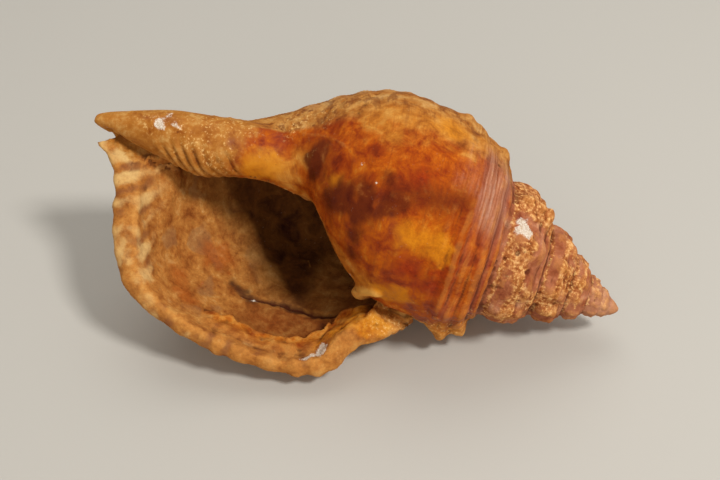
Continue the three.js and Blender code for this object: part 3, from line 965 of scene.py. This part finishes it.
def body_colour(n):
    """The mottled back, the glazed amber belly with its glow and dark marks, and the columella."""
    back = n.tones("middle", (0.25, 110, 58, 20), (0.42, 164, 100, 40), (0.58, 190, 132, 66),
                   (0.8, 210, 166, 108))
    ridges = n.tones("middle", (0.35, 182, 120, 60), (0.65, 220, 178, 122))
    brown = n.tones("fine", (0.3, 92, 42, 14), (0.7, 138, 76, 32))
    amber = n.tones("middle", (0.25, 96, 28, 2), (0.42, 140, 54, 2), (0.58, 174, 82, 6), (0.8, 202, 120, 26))
    gold = n.tones("middle", (0.3, 146, 78, 22), (0.5, 184, 112, 38), (0.75, 208, 148, 70))
    pink = n.tones("streaks", (0.3, 138, 78, 52), (0.5, 166, 108, 80), (0.7, 190, 146, 122))
    ember = n.tones("fine", (0.3, 112, 30, 2), (0.7, 158, 54, 4))
    dark = n.tones("middle", (0.3, 58, 16, 2), (0.6, 92, 32, 4), (0.8, 128, 54, 6))
    tan = n.tones("busy", (0.32, 136, 72, 18), (0.5, 170, 108, 42), (0.68, 202, 156, 90))
    back = n.mix(n.times(n.mask("cord"), 0.75), back, ridges)
    dashes = n.ramp(n.drawn_out(0.1, 1.6, 2.2, 4.0), 0.5, 0.6)
    back = n.mix(n.times(dashes, 0.65), back, brown)
    colour = n.layers(
        back,
        ("ventral", "broad", 0.35, 0.75, 0.5, amber),
        # Golden patches: partly real colour, partly painted light on the body's top and on the knobs in shade
        # near the floor.
        ("gold", "middle", 0.0, 1.3, 0.9, gold),
        ("pink", "broad", 0.2, 1.1, 0.9, pink, 0.85),
        ("mauve", "middle", 0.2, 1.2, 0.9, (136, 82, 70), 0.55),
    )
    lines = n.times(n.ramp(n.noises["streaks"], 0.5, 0.34), n.math("SUBTRACT", 1, n.mask("mouth")))
    colour = n.mix(n.times(lines, 0.24), colour, (112, 50, 24))
    return n.layers(
        colour,
        ("ember", "middle", 0.1, 1.2, 0.9, ember),
        ("glow", "middle", 0.2, 1.6, 1.3, (208, 128, 22)),
        ("dark", "middle", 0.05, 1.25, 0.8, dark, 0.95),
        ("columella", "middle", 0.3, 0.8, 0.5, tan, 0.92),
    )


def spire_colour(n, colour):
    """The spire: sandy crust over smoother brown, with dark seams and a paler tip."""
    sandy = n.tones("fine", (0.3, 92, 42, 16), (0.45, 156, 88, 44), (0.58, 202, 138, 82),
                    (0.75, 230, 186, 130))
    smooth = n.tones("middle", (0.25, 112, 50, 32), (0.42, 146, 80, 50), (0.58, 168, 102, 70),
                     (0.8, 202, 148, 114))
    crust = n.layers(
        smooth,
        ("grainy", "fine", 0.1, 0.9, 0.8, sandy),
        ("seam", "fine", 0.3, 1.1, 1.0, (96, 48, 32), 0.5),
        ("tip", "middle", 0.1, 1.5, 1.0, (208, 162, 128), 0.5),
    )
    return n.layers(colour, ("crust", "middle", 0.3, 0.7, 0.6, crust))


def mouth_colour(n, colour):
    """The lip's face with a painted half-shade, the hollow behind it, dark partly from its stain and partly
    from painted shadow, and the shelf, ledge and tooth inside the lip.
    """
    lip = n.tones("busy", (0.3, 104, 50, 16), (0.43, 148, 86, 36), (0.55, 178, 116, 54), (0.72, 206, 156, 92))
    # Colour of the painted half-shade beside the painted shadow.
    painted_half_shade = n.tones("middle", (0.3, 88, 48, 18), (0.5, 126, 80, 36), (0.7, 150, 104, 54))
    # The hollow's dark colour: partly its real stain, partly painted shadow.
    shadow_and_stain = n.tones("middle", (0.3, 48, 20, 6), (0.6, 98, 58, 22))
    shelf = n.tones("middle", (0.3, 78, 36, 12), (0.5, 122, 62, 22), (0.7, 158, 102, 48))
    ledge = n.tones("middle", (0.35, 146, 62, 6), (0.5, 188, 106, 28), (0.65, 212, 148, 66))
    lip = n.layers(
        lip,
        ("smudge", "fine", 0.3, 0.9, 0.7, (138, 96, 62), 0.5),
        ("blush", "busy", 0.3, 1.2, 1.3, (160, 72, 16), 0.6),
        # painted half-shade
        ("painted_half_shade", "broad", 0.1, 1.1, 0.8, painted_half_shade, 0.8),
    )
    # Inside the mouth, the lip colours with the painted shadow laid over them.
    colour = n.mix(n.mask("mouth"), colour, n.layers(lip, ("shadow_and_stain", "middle", 0.2, 0.8, 0.3, shadow_and_stain)))
    return n.layers(
        colour,
        ("shelf", "middle", 0.2, 1.0, 0.5, shelf, 0.8),
        ("ledge", "fine", 0.2, 0.9, 0.4, ledge, 0.85),
        ("bruise", "fine", 0.1, 1.1, 0.9, (56, 30, 22), 0.8),
        ("tooth", "fine", 0.2, 0.8, 0.5, (216, 158, 74), 0.85),
    )


def edge_colour(n, colour):
    """The rim with its cream and stains, the orange flames, the lip's foot, and a painted bounce light on the
    body's shaded underside near the floor.
    """
    rim = n.tones("busy", (0.32, 124, 66, 28), (0.5, 174, 110, 50), (0.68, 198, 140, 72))
    honey = n.tones("busy", (0.35, 166, 82, 10), (0.5, 202, 124, 26), (0.65, 220, 158, 62))
    # Golden colour of the painted bounce light on the underside near the floor.
    foot = n.tones("busy", (0.35, 134, 72, 26), (0.5, 186, 116, 46), (0.65, 214, 152, 78))
    return n.layers(
        colour,
        ("rim", "middle", 0.3, 1.1, 0.5, rim),
        ("cream", "middle", 0.1, 1.3, 1.3, (218, 180, 116), 0.8),
        ("stains", "fine", 0.1, 1.1, 0.9, (128, 76, 46), 0.75),
        ("flame", "middle", 0.2, 0.9, 1.2, (174, 76, 4), 0.95),
        ("honey", "middle", 0.1, 1.1, 0.9, honey, 0.85),
        ("foot", "middle", 0.1, 1.1, 0.7, foot, 0.7),
    )


def wear_colour(n, colour):
    """Darker in the hollows, paler on the ridges, grime, specks, bare chips with painted glints among them,
    and a faint mottle.
    """
    fine = n.noises["fine"]
    # Darker in the hollows and paler on the ridges, by the surface's own curvature, less so on the columella.
    hollows = n.ramp(n.math("MULTIPLY_ADD", fine, 0.12, n.mask("cavity")), 0.13, 0.5)
    hollow_share = n.math("MULTIPLY_ADD", n.mask("columella"), -0.35, 0.7)
    colour = n.mix(n.times(hollows, hollow_share), colour, (72, 30, 12))
    colour = n.mix(n.times(n.ramp(n.mask("cavity"), -0.08, -0.3), 0.22), colour, (210, 144, 70))
    colour = n.mix(n.times(n.ramp(fine, 0.36, 0.24), 0.55), colour, (84, 42, 22))
    specks = n.times(n.ramp(n.noise(1.1, 3, 0.6), 0.56, 0.66), n.times(n.mask("grainy"), 0.7))
    colour = n.mix(specks, colour, (228, 180, 112))
    # White of the bare chips and of the painted glints.
    bare = n.tones("dust", (0.35, 186, 160, 132), (0.6, 226, 214, 196))
    colour = n.layers(colour, ("chips_and_glints", "crumbs", 0.35, 0.85, 1.5, bare, 0.9))
    mottle = n.ramp(n.noise(1.0, 4, 0.7), 0.3, 0.7, 0.2, 0.8)
    return n.mix(n.math("MULTIPLY_ADD", n.mask("glaze"), -0.14, 0.18), colour, mottle, "OVERLAY")


def shell_material():
    material = bpy.data.materials.new("worn_shell")
    n = Nodes(material)
    colour = body_colour(n)
    for part in (spire_colour, mouth_colour, edge_colour, wear_colour):
        colour = part(n, colour)

    fine, dust = n.noises["fine"], n.noises["dust"]
    gloss = n.times(n.mask("glaze"), n.ramp(n.noises["middle"], 0.7, 0.35))
    rough = n.math("MULTIPLY_ADD", fine, 0.14, n.ramp(gloss, 0, 1, 0.8, 0.36))
    dusty = n.math("MULTIPLY_ADD", n.mask("glaze"), -0.35, 0.4)
    grain = n.math("MULTIPLY_ADD", fine, 0.6, n.times(dust, dusty))
    cells = n.add("TexVoronoi", "Distance", Vector=n.places, Scale=1 / (1.3 / 1000))
    grain = n.math("MULTIPLY_ADD", cells, n.times(n.mask("crust"), 0.6), grain)
    rise = n.add("Bump", "Normal", Strength=0.5, Distance=0.0006, Height=grain)
    for name, value in {"Base Color": colour, "Roughness": rough, "Specular IOR Level": 0.16,
                        "Normal": rise}.items():
        n.give(n.surface, name, value)
    return material


# ---- camera, floor and light ----
CAMERA = {"place": (17.2, -420, -108), "lens": 52.5, "film": 36}      # place in the shell's millimetres
SLOPE_SINE, SLOPE_COSINE = 0.4147, 0.91       # how the shell's axis slopes across the view
FLOOR_HALF = 3
FLOOR_COLOUR = (0.5, 0.47, 0.415, 1)
SKY = {"colour": (1, 0.98, 0.95, 1), "strength": 0.36}
LAMPS = [                        # name, place, size, power and colour
    ("key", (1.0, -0.45, 1.35), 0.3, 22, (1, 1, 1)),
    ("sky", (-0.3, 0.7, 1.5), 1.4, 8, (1, 1, 1)),
    ("front", (0.3, -1.5, 0.7), 1.2, 5, (1, 0.95, 0.88)),
]


def add_camera():
    camera = bpy.data.cameras.new("camera")
    camera.lens = CAMERA["lens"]
    camera.sensor_width = CAMERA["film"]
    made = placed("camera", camera)
    view = np.array([[-SLOPE_SINE, 0, SLOPE_COSINE], [-SLOPE_COSINE, 0, -SLOPE_SINE], [0, -1, 0]])
    axes = TURN @ view.T * 1000
    place = Vector(to_frame(np.array(CAMERA["place"])))
    made.matrix_world = Matrix.LocRotScale(place, Matrix(axes.tolist()), None)
    bpy.context.scene.camera = made


def add_floor():
    half = FLOOR_HALF
    corners = [(-half, -half, 0), (half, -half, 0), (half, half, 0), (-half, half, 0)]
    mesh = bpy.data.meshes.new("floor")
    mesh.from_pydata(corners, [], [(0, 1, 2, 3)])
    floor = placed("floor", mesh)
    material = bpy.data.materials.new("pale_cloth")
    material.use_nodes = True
    surface = material.node_tree.nodes["Principled BSDF"]
    surface.inputs["Base Color"].default_value = FLOOR_COLOUR
    surface.inputs["Roughness"].default_value = 0.9
    mesh.materials.append(material)


def add_light(name, place, size, power, colour):
    lamp = bpy.data.lights.new(name, "AREA")
    lamp.shape = "DISK"
    lamp.size = size
    lamp.energy = power
    lamp.color = colour
    made = placed(name, lamp)
    made.location = place
    made.rotation_mode = "QUATERNION"
    made.rotation_quaternion = (-Vector(place)).to_track_quat("-Z", "Y")


def add_world():
    world = bpy.data.worlds.new("studio")
    world.use_nodes = True
    background = world.node_tree.nodes["Background"]
    background.inputs["Color"].default_value = SKY["colour"]
    background.inputs["Strength"].default_value = SKY["strength"]
    bpy.context.scene.world = world


shell = build_shell()
shell.data.materials.append(shell_material())
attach(shell, "root")
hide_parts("shell")

bpy.context.scene.view_settings.view_transform = "Standard"
add_camera()
add_floor()
add_world()
for lamp in LAMPS:
    add_light(*lamp)
